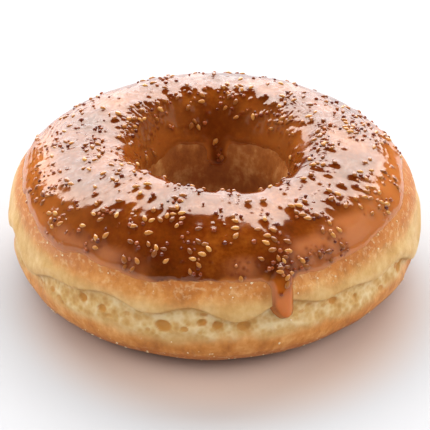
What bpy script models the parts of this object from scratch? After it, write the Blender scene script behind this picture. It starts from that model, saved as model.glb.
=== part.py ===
"""A raised ring doughnut: a fried dough ring, and a caramel glaze with seeds and grains stuck to it.

Metres, +Z up. The origin is the middle of the doughnut's footprint, on the surface that it rests on.
Ring angles are counted round the hole from the front (-Y) towards +X. Section angles are counted round
the ring's own section: 0 is the outer side, 90 the crown, 180 the wall of the hole and 270 the base.
"""

import math
import random

import bmesh
import bpy
from mathutils import Vector, noise

MM = 0.001

# The dough ring's driving sizes
OUTER_RADIUS = 47.3 * MM
HOLE_RADIUS = 16.6 * MM
CROWN_RADIUS = 26.0 * MM
DOUGH_HEIGHT = 31.4 * MM
WAIST_HEIGHT = 13.4 * MM
FOOT_FLATTENING = 0.5 * MM
TOP_POWER = 2.15
BASE_POWER = 3.15

# Unevenness of a hand-cut ring, each wave as (waves round the ring, height, turn in radians)
OUTER_WAVES = (
    (1, 0.25 * MM, -1.8),
    (2, 0.37 * MM, -1.98),
    (3, 0.16 * MM, 1.54),
    (4, 0.72 * MM, -1.0),
    (5, 0.35 * MM, 1.54),
)
HOLE_WAVES = ((2, 0.5 * MM, 1.9), (3, 0.4 * MM, 0.4))
CROWN_WAVES = ((1, 0.61 * MM, 2.9), (2, 0.4 * MM, -1.28), (3, 0.76 * MM, -1.56))
LUMP_SIZE = 11 * MM
LUMP_HEIGHT = 0.25 * MM

# The proof line: the upper half's lip hangs over an open, porous band
CREASE_HEIGHT = 15.6 * MM
CREASE_WAVES = (
    (2, 0.86 * MM, -0.29),
    (3, 1.2 * MM, 0.2),
    (5, 1.1 * MM, -2.81),
    (9, 0.51 * MM, 1.73),
    (11, 0.99 * MM, -1.51),
    (16, 1.03 * MM, -1.4),
)
LIP_BULGE = 0.45 * MM
LIP_RISE = 1.6 * MM
LIP_SPREAD = 2.0 * MM
LIP_COVER_POWER = 5
GROOVE_DEPTH = 1.2 * MM
GROOVE_DROP = 1.4 * MM
GROOVE_SPREAD = 1.9 * MM

# Open pores in the band, each as (ring angle in degrees, height, width)
FRONT_PORES = (
    (-37, 14.0 * MM, 2.4 * MM),
    (-30, 13.6 * MM, 2.0 * MM),
    (-13, 12.9 * MM, 3.3 * MM),
    (-3, 14.6 * MM, 2.0 * MM),
    (1, 13.6 * MM, 2.2 * MM),
    (8, 13.2 * MM, 2.8 * MM),
    (34, 13.9 * MM, 2.2 * MM),
)
OTHER_PORES = 11
PORE_WIDTHS = (1.6 * MM, 2.8 * MM)
PORE_DEPTH_SHARE = 0.42

# The glaze: a skin that the dough carries, with a clearance between the two solids
GLAZE_GAP = 0.55 * MM
GLAZE_THICKNESS = 1.1 * MM
GLAZE_EDGE_SHARE = 0.4
OUTER_EDGE = 34.1
OUTER_EDGE_WAVES = ((1, 1.8, 2.1), (2, 3.1, 2.98), (4, 2.4, 0.1), (9, 1.2, 0.7), (12, 1.1, -1.15))
INNER_EDGE = 152.0
INNER_EDGE_WAVES = ((1, 1.8, -2.0), (2, 4.4, 1.4), (3, 0.9, 1.0))
EDGE_PULL_SHARE = 0.5

# Where the glaze ran down: (ring angle, half width, length) in degrees
OUTER_DRIP = (18.0, 4.2, 34.0)
HOLE_DRIP = (172.0, 13.0, 17.0)

# Toppings stuck to the glaze, in heaps: (ring angle, section angle, spread in mm, share of the toppings)
HEAPS = (
    (18, 37, 1.4, 10),
    (-5, 46, 1.2, 8),
    (19, 53, 1.6, 8),
    (-48, 82, 1.7, 7),
    (81, 95, 1.4, 7),
    (49, 67, 1.3, 6),
    (-82, 86, 1.5, 5),
    (-17, 70, 1.4, 5),
    (-23, 56, 1.7, 5),
    (-52, 39, 1.3, 5),
    (-63, 50, 1.0, 5),
    (62, 45, 1.0, 5),
    (-23, 34, 0.8, 4),
    (-16, 46, 0.8, 4),
    (-35, 40, 1.3, 4),
    (138, 90, 1.2, 4),
    (38, 46, 1.0, 4),
    (33, 76, 1.3, 4),
    (97, 76, 1.1, 4),
    (-68, 82, 1.4, 3),
    (-10, 66, 1.1, 3),
    (-61, 62, 0.9, 3),
    (-38, 57, 0.6, 3),
    (-163, 137, 0.9, 3),
    (35, 63, 0.7, 3),
    (25, 37, 0.6, 3),
    (31, 39, 1.3, 3),
    (8, 70, 1.0, 3),
    (59, 57, 0.8, 3),
    (65, 62, 1.2, 3),
    (73, 51, 0.9, 3),
    (96, 96, 1.2, 3),
    (69, 101, 1.3, 3),
    (-116, 91, 0.6, 2),
)
TOPPING_COUNT = 116
SCATTERED_SHARE = 0.34
SEED_LENGTH = 2.2 * MM
SEED_WIDTH = 1.35 * MM
SEED_HEIGHT = 1.15 * MM
SEED_SUNK_SHARE = 0.3
EDGE_MARGIN = 7.0
SEED_SPACING = 1.9 * MM
RANDOM_SEED = 20

# How finely the solids are faceted
RING_STEPS = 76
SECTION_STEPS = 26
GLAZE_ROWS = 12
DRIP_COLUMNS = (-1.3, -0.95, -0.7, 0.3, 0.7, 0.95, 1.3)
BAND_CROWDING = 0.4
BAND_MIDDLE = math.radians(12)


def waves_at(angle, waves):
    """The sum of the waves at this angle round the ring."""
    return sum(height * math.cos(count * angle - turn) for count, height, turn in waves)


def bump(distance):
    """A smooth hill, 1 at the middle and about 0 from 2 on."""
    return math.exp(-distance * distance)


def base_surface(ring, section):
    """A point of the dough ring before its proof line is pressed in."""
    cosine, sine = math.cos(section), math.sin(section)
    power = TOP_POWER if sine >= 0 else BASE_POWER
    reach = (abs(cosine) ** power + abs(sine) ** power) ** (-1 / power)
    if cosine >= 0:
        half_width = OUTER_RADIUS - CROWN_RADIUS + waves_at(ring, OUTER_WAVES)
    else:
        half_width = CROWN_RADIUS - HOLE_RADIUS - waves_at(ring, HOLE_WAVES)
    if sine >= 0:
        half_height = DOUGH_HEIGHT - WAIST_HEIGHT + waves_at(ring, CROWN_WAVES)
    else:
        half_height = WAIST_HEIGHT + FOOT_FLATTENING
    radius = CROWN_RADIUS + half_width * cosine * reach
    height = WAIST_HEIGHT + half_height * sine * reach
    return Vector((radius * math.sin(ring), -radius * math.cos(ring), height))


def base_normal(ring, section):
    """The outward normal of the dough ring's base surface."""
    step = 0.01
    along = base_surface(ring + step, section) - base_surface(ring - step, section)
    around = base_surface(ring, section + step) - base_surface(ring, section - step)
    return along.cross(around).normalized()


def lumps(point):
    """The gentle lumps of proved dough."""
    return LUMP_HEIGHT * noise.noise(point / LUMP_SIZE)


def proof_line(ring, section, height):
    """How far the lip stands out, or the groove below it goes in, on the outer side."""
    crease = CREASE_HEIGHT + waves_at(ring, CREASE_WAVES)
    lip = LIP_BULGE * bump((height - crease - LIP_RISE) / LIP_SPREAD)
    groove = GROOVE_DEPTH * bump((height - crease + GROOVE_DROP) / GROOVE_SPREAD)
    return (lip - groove) * max(0.0, math.cos(section)) ** 2


def dough_surface(ring, section):
    """A point on the skin of the dough, its foot pressed flat."""
    point = base_surface(ring, section)
    relief = lumps(point) + proof_line(ring, section, point.z)
    point += base_normal(ring, section) * relief
    point.z = max(point.z, 0.0)
    return point


def cover_surface(ring, section, lift):
    """A point at this height over the dough, where the glaze runs clear of the lip and the groove."""
    point = base_surface(ring, section)
    relief = lumps(point) + LIP_BULGE * max(0.0, math.cos(section)) ** LIP_COVER_POWER
    return point + base_normal(ring, section) * (relief + lift)


def band_crowded(turn):
    """Crowds evenly spaced section angles towards the proof line, where the relief is."""
    return turn - BAND_CROWDING * math.sin(turn - BAND_MIDDLE)


def turn_between(angle, middle):
    """The signed angle from middle to angle, in degrees, taken the short way."""
    return (angle - middle + 180) % 360 - 180


def drip_at(ring_degrees, drip):
    """How far a drip carries the glaze's edge, in degrees of section angle."""
    middle, half_width, length = drip
    return length * math.exp(-((turn_between(ring_degrees, middle) / half_width) ** 4))


def glaze_edges(ring):
    """The section angles of the glaze's outer and inner edge, in degrees."""
    ring_degrees = math.degrees(ring)
    outer = OUTER_EDGE + waves_at(ring, OUTER_EDGE_WAVES) - drip_at(ring_degrees, OUTER_DRIP)
    inner = INNER_EDGE + waves_at(ring, INNER_EDGE_WAVES) + drip_at(ring_degrees, HOLE_DRIP)
    return outer, inner


def glaze_section_angle(ring, share):
    """The section angle of a glaze row, which follows the edges only near them."""
    outer, inner = glaze_edges(ring)
    pull_out = max(0.0, 1 - share / EDGE_PULL_SHARE)
    pull_in = max(0.0, 1 - (1 - share) / EDGE_PULL_SHARE)
    plain = OUTER_EDGE + (INNER_EDGE - OUTER_EDGE) * share
    degrees = plain + (outer - OUTER_EDGE) * pull_out + (inner - INNER_EDGE) * pull_in
    return math.radians(degrees)


def glaze_columns():
    """Ring angles of the glaze's columns: as the dough's, with more of them across the outer drip."""
    even = [math.tau * step / RING_STEPS for step in range(RING_STEPS)]
    middle, half_width, _ = OUTER_DRIP
    extra = [math.radians(middle + half_width * share) for share in DRIP_COLUMNS]
    return sorted(even + extra)


def new_object(name, mesh, collection):
    """Links a mesh to a collection as an object."""
    made = bpy.data.objects.new(name, mesh)
    collection.objects.link(made)
    return made


def new_collection(name):
    """Adds a collection to the scene."""
    made = bpy.data.collections.new(name)
    bpy.context.scene.collection.children.link(made)
    return made


def new_material(name, colour, roughness):
    """A plain material with the part's colour and gloss."""
    made = bpy.data.materials.new(name)
    made.use_nodes = True
    shader = made.node_tree.nodes["Principled BSDF"]
    shader.inputs["Base Color"].default_value = (*colour, 1.0)
    shader.inputs["Roughness"].default_value = roughness
    shader.inputs["Metallic"].default_value = 0.0
    return made


def ball(name, size, matrix_columns, place, collection):
    """A small faceted ball, stretched to size along the given axes."""
    mesh = bpy.data.meshes.new(name)
    shaper = bmesh.new()
    bmesh.ops.create_icosphere(shaper, subdivisions=1, radius=0.5)
    for vertex in shaper.verts:
        x, y, z = vertex.co
        along, across, up = matrix_columns
        vertex.co = place + along * x * size[0] + across * y * size[1] + up * z * size[2]
    shaper.to_mesh(mesh)
    shaper.free()
    return new_object(name, mesh, collection)


def apply_boolean(target, collection, operation):
    """Cuts or joins a collection's objects in one Boolean, applies it, and removes them."""
    modifier = target.modifiers.new(operation.lower(), "BOOLEAN")
    modifier.operation = operation
    modifier.operand_type = "COLLECTION"
    modifier.collection = collection
    modifier.solver = "EXACT"
    evaluated = target.evaluated_get(bpy.context.evaluated_depsgraph_get())
    made = bpy.data.meshes.new_from_object(evaluated)
    target.modifiers.clear()
    target.data = made
    for used in list(collection.objects):
        bpy.data.objects.remove(used, do_unlink=True)
    bpy.data.collections.remove(collection)


def tangent_frame(ring, section, turn):
    """Axes lying in the surface and out of it, turned about the normal."""
    up = base_normal(ring, section)
    sideways = Vector((math.cos(ring), math.sin(ring), 0.0))
    other = up.cross(sideways)
    along = sideways * math.cos(turn) + other * math.sin(turn)
    return along, up.cross(along), up


def section_angle_at(ring, height):
    """The section angle at which the outer side reaches this height, found by halving."""
    low, high = -math.pi / 2, math.pi / 2
    for _ in range(30):
        middle = (low + high) / 2
        if base_surface(ring, middle).z < height:
            low = middle
        else:
            high = middle
    return (low + high) / 2


def pore_list(chance):
    """The front's pores, then others spread evenly round the rest of the band."""
    pores = list(FRONT_PORES)
    first, last = FRONT_PORES[-1][0], FRONT_PORES[0][0] + 360
    step = (last - first) / (OTHER_PORES + 1)
    for number in range(1, OTHER_PORES + 1):
        ring_degrees = first + step * (number + chance.uniform(-0.25, 0.25))
        height = CREASE_HEIGHT - chance.uniform(2.2, 4.6) * MM
        pores.append((ring_degrees, height, chance.uniform(*PORE_WIDTHS)))
    return pores


def make_dough(collection, chance):
    """The fried dough ring, its proof line pressed in and its large pores cut."""
    bpy.ops.mesh.primitive_torus_add(
        major_segments=RING_STEPS, minor_segments=SECTION_STEPS, major_radius=1.0, minor_radius=0.25
    )
    dough = bpy.context.active_object
    dough.name = "dough_ring"
    dough.data.name = "dough_ring"
    for vertex in dough.data.vertices:
        x, y, z = vertex.co
        ring = math.atan2(x, -y)
        section = band_crowded(math.atan2(z, math.hypot(x, y) - 1.0))
        vertex.co = dough_surface(ring, section)
    for owner in list(dough.users_collection):
        owner.objects.unlink(dough)
    collection.objects.link(dough)
    cutters = new_collection("pore_cutters")
    for number, (ring_degrees, height, width) in enumerate(pore_list(chance)):
        ring = math.radians(ring_degrees)
        section = section_angle_at(ring, height)
        axes = tangent_frame(ring, section, chance.uniform(0, math.pi))
        size = (width * 1.25, width, width * 2 * PORE_DEPTH_SHARE)
        cutter = ball(f"pore_{number}", size, axes, dough_surface(ring, section), cutters)
        cutter.hide_render = True
        cutter.display_type = "WIRE"
    apply_boolean(dough, cutters, "DIFFERENCE")
    dough.data.shade_smooth()
    dough.data.materials.clear()
    dough.data.materials.append(new_material("fried_crust", (0.62, 0.33, 0.11), 0.55))
    return dough


def make_glaze_skin(collection):
    """The glaze as a sheet wrapped over the crown and given its thickness."""
    columns = glaze_columns()
    shaper = bmesh.new()
    bmesh.ops.create_grid(shaper, x_segments=len(columns), y_segments=GLAZE_ROWS, size=0.5)
    weights = shaper.verts.layers.deform.verify()
    for vertex in shaper.verts:
        column = round((vertex.co.x + 0.5) * len(columns))
        share = vertex.co.y + 0.5
        ring = columns[column % len(columns)]
        vertex.co = cover_surface(ring, glaze_section_angle(ring, share), GLAZE_GAP)
        at_edge = min(share, 1 - share) * GLAZE_ROWS < 0.5
        vertex[weights][0] = GLAZE_EDGE_SHARE if at_edge else 1.0
    bmesh.ops.remove_doubles(shaper, verts=shaper.verts, dist=0.01 * MM)
    bmesh.ops.recalc_face_normals(shaper, faces=shaper.faces)
    highest = max(shaper.faces, key=lambda face: face.calc_center_median().z)
    if highest.normal.z < 0:
        bmesh.ops.reverse_faces(shaper, faces=shaper.faces)
    mesh = bpy.data.meshes.new("glaze")
    shaper.to_mesh(mesh)
    shaper.free()
    glaze = new_object("glaze", mesh, collection)
    glaze.vertex_groups.new(name="thickness")
    solidify = glaze.modifiers.new("thickness", "SOLIDIFY")
    solidify.thickness = GLAZE_THICKNESS
    solidify.offset = 1.0
    solidify.vertex_group = "thickness"
    evaluated = glaze.evaluated_get(bpy.context.evaluated_depsgraph_get())
    thick = bpy.data.meshes.new_from_object(evaluated)
    glaze.modifiers.clear()
    glaze.data = thick
    return glaze


def topping_spots(chance):
    """Ring and section angles of the toppings: in heaps and scattered, none on top of another."""
    total = sum(share for *_, share in HEAPS)
    wanted = []
    for ring_degrees, section_degrees, spread, share in HEAPS:
        for _ in range(round(TOPPING_COUNT * (1 - SCATTERED_SHARE) * share / total)):
            wanted.append((ring_degrees, section_degrees, spread * MM))
    wanted += [None] * (TOPPING_COUNT - len(wanted))
    spots, places = [], []
    for heap in wanted:
        for _ in range(60):
            if heap is None:
                ring = chance.uniform(0, math.tau)
                section = math.radians(chance.uniform(OUTER_EDGE, INNER_EDGE))
            else:
                radius = math.hypot(*base_surface(0.0, math.radians(heap[1])).xy)
                ring = math.radians(heap[0]) + chance.gauss(0, heap[2]) / radius
                section = math.radians(heap[1]) + chance.gauss(0, heap[2]) / (18 * MM)
            outer, inner = glaze_edges(ring)
            place = cover_surface(ring, section, 0.0)
            inside = outer + EDGE_MARGIN < math.degrees(section) < inner - EDGE_MARGIN
            if inside and all((place - other).length > SEED_SPACING for other in places):
                spots.append((ring, section))
                places.append(place)
                break
    return spots


def make_glaze(collection, chance):
    """The glaze skin with its seeds and grains fused to it."""
    glaze = make_glaze_skin(collection)
    toppings = new_collection("toppings")
    for number, (ring, section) in enumerate(topping_spots(chance)):
        scale = chance.uniform(0.85, 1.15)
        size = (SEED_LENGTH * scale, SEED_WIDTH * scale, SEED_HEIGHT * scale)
        axes = tangent_frame(ring, section, chance.uniform(0, math.pi))
        above = cover_surface(ring, section, GLAZE_GAP + GLAZE_THICKNESS)
        _, on_glaze, _, _ = glaze.closest_point_on_mesh(above)
        place = on_glaze + axes[2] * size[2] * (0.5 - SEED_SUNK_SHARE)
        ball(f"seed_{number}", size, axes, place, toppings)
    apply_boolean(glaze, toppings, "UNION")
    glaze.data.shade_smooth()
    glaze.data.set_sharp_from_angle(angle=math.radians(40))
    glaze.data.materials.clear()
    glaze.data.materials.append(new_material("caramel_glaze", (0.47, 0.15, 0.03), 0.12))
    return glaze


def main():
    """Clears the scene and builds the doughnut."""
    for old in list(bpy.data.objects):
        bpy.data.objects.remove(old, do_unlink=True)
    doughnut = new_collection("ring_doughnut")
    make_dough(doughnut, random.Random(RANDOM_SEED))
    make_glaze(doughnut, random.Random(RANDOM_SEED))


main()
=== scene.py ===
"""Render scene of a raised ring doughnut with a caramel glaze, golden seeds and dark grains.

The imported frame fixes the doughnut's size and place. The dough and the glaze are rebuilt at full detail
from the same measures as the solids that they stand for, and what is stuck to them is scattered over
their surfaces by Geometry Nodes. Metres, +Z up. Ring angles are counted round the hole from the front
(-Y) towards +X. Section angles are counted from the outer side (0) over the crown (90) to the wall of
the hole (180) and the base (270).
"""

from __future__ import annotations

import logging
import math
import random
from dataclasses import dataclass, field
from enum import Enum
from functools import partial
from typing import Any, Iterable, Mapping, Sequence

import bmesh
import bpy
import numpy as np
from mathutils import Matrix, Vector, noise


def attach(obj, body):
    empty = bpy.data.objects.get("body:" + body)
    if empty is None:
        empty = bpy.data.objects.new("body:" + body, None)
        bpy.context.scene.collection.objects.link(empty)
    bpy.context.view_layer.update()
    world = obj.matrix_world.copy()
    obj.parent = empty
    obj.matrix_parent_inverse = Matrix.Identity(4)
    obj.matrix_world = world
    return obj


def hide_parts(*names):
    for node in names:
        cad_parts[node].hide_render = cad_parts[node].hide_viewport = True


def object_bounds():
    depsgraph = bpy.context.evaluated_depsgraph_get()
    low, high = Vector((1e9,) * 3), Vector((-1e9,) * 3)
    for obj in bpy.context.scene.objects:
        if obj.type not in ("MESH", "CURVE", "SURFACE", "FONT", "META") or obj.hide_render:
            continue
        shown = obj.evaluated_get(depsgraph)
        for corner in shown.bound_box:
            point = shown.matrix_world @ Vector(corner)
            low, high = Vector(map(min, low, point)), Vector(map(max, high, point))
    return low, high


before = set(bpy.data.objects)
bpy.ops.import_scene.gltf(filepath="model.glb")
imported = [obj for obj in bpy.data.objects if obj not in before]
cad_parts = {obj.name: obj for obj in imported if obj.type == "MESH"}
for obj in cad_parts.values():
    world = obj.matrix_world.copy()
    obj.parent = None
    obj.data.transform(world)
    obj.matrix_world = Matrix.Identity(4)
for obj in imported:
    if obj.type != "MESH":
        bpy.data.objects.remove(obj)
CAD_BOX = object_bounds()

MM = 0.001
BOX_MARGIN = 0.005 * MM
# Turn lengths along the section, and round the ring at its crest, into angles
SECTION_RADIUS = 18 * MM
CREST_RADIUS = 34 * MM
LOG = logging.getLogger("doughnut")
Array = np.ndarray
Seat = tuple[Vector, Matrix, Sequence[float]]


# Small mathematics


def wave_sum(angle: Array | float, waves: Iterable[tuple[int, float, float]]) -> Array | float:
    """Adds up waves that run round the ring.

    Args:
        angle: ring angle in radians.
        waves: each wave as (waves round the ring, height, turn in radians).

    Returns:
        The sum at each angle.
    """
    return sum(height * np.cos(count * angle - turn) for count, height, turn in waves)


def hill(distance: Array | float) -> Array | float:
    """A smooth hill.

    Args:
        distance: distance from its middle, in widths.

    Returns:
        1 at the middle, and about 0 from 2 on.
    """
    return np.exp(-np.square(distance))


def ease(low: float, high: float, value: Array) -> Array:
    """Rises smoothly from 0 at low to 1 at high.

    Args:
        low: where the rise starts.
        high: where it ends, above or below low.
        value: the values to map.

    Returns:
        The share risen at each value.
    """
    share = np.clip((value - low) / (high - low), 0.0, 1.0)
    return share * share * (3 - 2 * share)


def soft_max(first: Array, second: Array, blend: float) -> Array:
    """The larger of two values, rounded over where they meet.

    Args:
        first: first values.
        second: second values.
        blend: how wide the rounding is.

    Returns:
        The rounded maximum.
    """
    share = np.clip(0.5 + 0.5 * (first - second) / blend, 0.0, 1.0)
    return second + (first - second) * share + blend * share * (1 - share) / 2


def noise_at(points: Array, size: float, shift: float = 0.0) -> Array:
    """Smooth noise sampled at points.

    Args:
        points: points, (..., 3), in metres.
        size: size of one bump, in metres.
        shift: moves the field, so that two samplings differ.

    Returns:
        The noise, about -1 to 1, with one value a point.
    """
    flat = points.reshape(-1, 3) / size + shift
    values = [noise.noise(Vector(place)) for place in flat.tolist()]
    return np.array(values).reshape(points.shape[:-1])


def crowded(stops: Sequence[tuple[float, float]], count: int) -> Array:
    """Spreads section angles so that there are more of them where detail needs them.

    Args:
        stops: (angle in degrees, rows per degree) where the crowding changes.
        count: how many angles to give.

    Returns:
        Rising angles in radians, from the first stop to just before the last.
    """
    fine = np.linspace(stops[0][0], stops[-1][0], 4000)
    density = np.interp(fine, [stop[0] for stop in stops], [stop[1] for stop in stops])
    filled = np.concatenate([[0.0], np.cumsum(density)[:-1]])
    wanted = np.arange(count) / count * filled[-1]
    return np.radians(np.interp(wanted, filled, fine))


def turned(ring: Array, degrees: float) -> Array:
    """Ring angles counted from a place, the short way.

    Args:
        ring: ring angles in radians.
        degrees: the place, in degrees.

    Returns:
        Angles in degrees, -180 to 180.
    """
    return (np.degrees(ring) - degrees + 180) % 360 - 180


def linked(name: str, data: bpy.types.ID) -> bpy.types.Object:
    """Adds an object to the scene.

    Args:
        name: its name.
        data: its mesh, light or camera.

    Returns:
        The object.
    """
    made = bpy.data.objects.new(name, data)
    bpy.context.scene.collection.objects.link(made)
    return made


def add_node(
    tree: bpy.types.NodeTree, kind: str, inputs: Mapping[Any, Any] | None = None, **settings: Any
) -> bpy.types.Node:
    """Adds one node to a tree.

    Args:
        tree: the tree.
        kind: the node's type.
        inputs: socket name or number to a value, or to the socket that feeds it.
        settings: the node's own properties.

    Returns:
        The node.
    """
    node = tree.nodes.new(kind)
    for label, value in settings.items():
        setattr(node, label, value)
    for key, value in (inputs or {}).items():
        named = (socket for socket in node.inputs if socket.name == key and socket.enabled)
        socket = node.inputs[key] if isinstance(key, int) else next(named)
        if isinstance(value, bpy.types.NodeSocket):
            tree.links.new(value, socket)
        else:
            socket.default_value = value
    return node


# The doughnut's form, measured as the solids are


@dataclass(frozen=True)
class RingShape:
    """The ring's form before any fine relief, with the measures of the solids."""

    outer_radius: float = 47.3 * MM
    hole_radius: float = 16.6 * MM
    crown_radius: float = 26.0 * MM
    dough_height: float = 31.4 * MM
    waist_height: float = 13.4 * MM
    foot_flattening: float = 0.5 * MM
    top_power: float = 2.15
    base_power: float = 3.15
    outer_waves: tuple = (
        (1, 0.25 * MM, -1.8),
        (2, 0.37 * MM, -1.98),
        (3, 0.16 * MM, 1.54),
        (4, 0.72 * MM, -1.0),
        (5, 0.35 * MM, 1.54),
    )
    hole_waves: tuple = ((2, 0.5 * MM, 1.9), (3, 0.4 * MM, 0.4))
    crown_waves: tuple = ((1, 0.61 * MM, 2.9), (2, 0.4 * MM, -1.28), (3, 0.76 * MM, -1.56))
    lump_size: float = 11 * MM
    lump_height: float = 0.25 * MM

    def base(self, ring: Array, section: Array) -> Array:
        """Points of the smooth ring.

        Args:
            ring: ring angles in radians.
            section: section angles in radians, of the same shape.

        Returns:
            Points, (..., 3).
        """
        cosine, sine = np.cos(section), np.sin(section)
        power = np.where(sine >= 0, self.top_power, self.base_power)
        reach = (np.abs(cosine) ** power + np.abs(sine) ** power) ** (-1 / power)
        outer = self.outer_radius - self.crown_radius + wave_sum(ring, self.outer_waves)
        inner = self.crown_radius - self.hole_radius - wave_sum(ring, self.hole_waves)
        upper = self.dough_height - self.waist_height + wave_sum(ring, self.crown_waves)
        lower = self.waist_height + self.foot_flattening
        radius = self.crown_radius + np.where(cosine >= 0, outer, inner) * cosine * reach
        height = self.waist_height + np.where(sine >= 0, upper, lower) * sine * reach
        return np.stack([radius * np.sin(ring), -radius * np.cos(ring), height], axis=-1)

    def normal(self, ring: Array, section: Array) -> Array:
        """Outward normals of the smooth ring.

        Args:
            ring: ring angles in radians.
            section: section angles in radians.

        Returns:
            Unit vectors, (..., 3).
        """
        step = 0.01
        along = self.base(ring + step, section) - self.base(ring - step, section)
        around = self.base(ring, section + step) - self.base(ring, section - step)
        normal = np.cross(along, around)
        return normal / np.linalg.norm(normal, axis=-1, keepdims=True)

    def lumps(self, points: Array) -> Array:
        """The gentle lumps of proved dough.

        Args:
            points: points of the smooth ring.

        Returns:
            How far each stands out, in metres.
        """
        return self.lump_height * noise_at(points, self.lump_size)


@dataclass(frozen=True)
class ProofLine:
    """The open band between the two fried halves, under the upper half's lip."""

    crease_height: float = 15.6 * MM
    crease_waves: tuple = (
        (2, 0.86 * MM, -0.29),
        (3, 1.2 * MM, 0.2),
        (5, 1.1 * MM, -2.81),
        (9, 0.51 * MM, 1.73),
        (11, 0.99 * MM, -1.51),
        (16, 1.03 * MM, -1.4),
    )
    lip_bulge: float = 0.45 * MM
    lip_rise: float = 1.6 * MM
    lip_spread: float = 2.0 * MM
    cover_power: int = 5
    recess: float = 1.15 * MM
    recess_edge: float = 0.55 * MM
    recess_end: float = 6.2 * MM
    pale_top: float = 20.0 * MM
    pale_top_waves: tuple = ((2, 1.6 * MM, math.pi), (3, 0.8 * MM, 0.26))
    pale_base: float = 9.6 * MM
    pale_base_waves: tuple = ((3, 0.4 * MM, 0.9), (7, 0.5 * MM, 1.7), (13, 0.4 * MM, 0.4))

    def drop(self, ring: Array, height: Array) -> Array:
        """How far below the crease a point is.

        Args:
            ring: ring angles in radians.
            height: heights over the base.

        Returns:
            Distances in metres, negative above the crease.
        """
        return self.crease_height + wave_sum(ring, self.crease_waves) - height

    def relief(self, ring: Array, section: Array, height: Array) -> Array:
        """The lip's bulge and the crumb's recess below it.

        Args:
            ring: ring angles in radians.
            section: section angles in radians.
            height: heights over the base.

        Returns:
            How far each point stands out, in metres.
        """
        drop = self.drop(ring, height)
        facing = np.clip(np.cos(section), 0.0, 1.0) ** 2
        sunk = ease(-0.1 * MM, self.recess_edge, drop) * (1 - ease(1.2 * MM, self.recess_end, drop))
        return self.lip(ring, section, height) - self.recess * sunk * facing

    def lip(self, ring: Array, section: Array, height: Array) -> Array:
        """The lip's bulge alone.

        Args:
            ring: ring angles in radians.
            section: section angles in radians.
            height: heights over the base.

        Returns:
            How far each point stands out, in metres.
        """
        above = -self.drop(ring, height) - self.lip_rise
        return self.lip_bulge * hill(above / self.lip_spread) * np.clip(np.cos(section), 0.0, 1.0) ** 2


@dataclass(frozen=True)
class Pore:
    """An open pore in the crumb."""

    ring: float
    height: float
    width: float
    depth: float


@dataclass(frozen=True)
class PoreRule:
    """Where the crumb's pores are: the large ones of the solid, then many small ones."""

    front: tuple = (
        (-37, 14.0 * MM, 2.4 * MM),
        (-30, 13.6 * MM, 2.0 * MM),
        (-13, 12.9 * MM, 3.3 * MM),
        (-3, 14.6 * MM, 2.0 * MM),
        (1, 13.6 * MM, 2.2 * MM),
        (8, 13.2 * MM, 2.8 * MM),
        (34, 13.9 * MM, 2.2 * MM),
    )
    others: int = 11
    widths: tuple[float, float] = (1.6 * MM, 2.8 * MM)
    depth_share: float = 0.2
    medium: int = 90
    small: int = 240
    seed: int = 20

    def pores(self, line: ProofLine) -> list[Pore]:
        """Lists every pore.

        Args:
            line: the proof line that they lie under.

        Returns:
            The pores, largest kind first.
        """
        chance = random.Random(self.seed)
        made = [Pore(math.radians(a), h, w, w * self.depth_share) for a, h, w in self.front]
        first, last = self.front[-1][0], self.front[0][0] + 360
        step = (last - first) / (self.others + 1)
        for number in range(1, self.others + 1):
            ring = math.radians(first + step * (number + chance.uniform(-0.25, 0.25)))
            height = line.crease_height - chance.uniform(2.2, 4.6) * MM
            width = chance.uniform(*self.widths)
            made.append(Pore(ring, height, width, width * self.depth_share))
        kinds = ((self.medium, (0.8, 1.6), (0.9, 5.4)), (self.small, (0.4, 0.8), (0.5, 6.4)))
        for count, widths, drops in kinds:
            for _ in range(count):
                ring = chance.uniform(0, math.tau)
                width = chance.uniform(*widths) * MM
                crease = line.crease_height + wave_sum(ring, line.crease_waves)
                height = crease - chance.uniform(*drops) * MM
                made.append(Pore(ring, height, width, width * chance.uniform(0.08, 0.2)))
        return made


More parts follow.
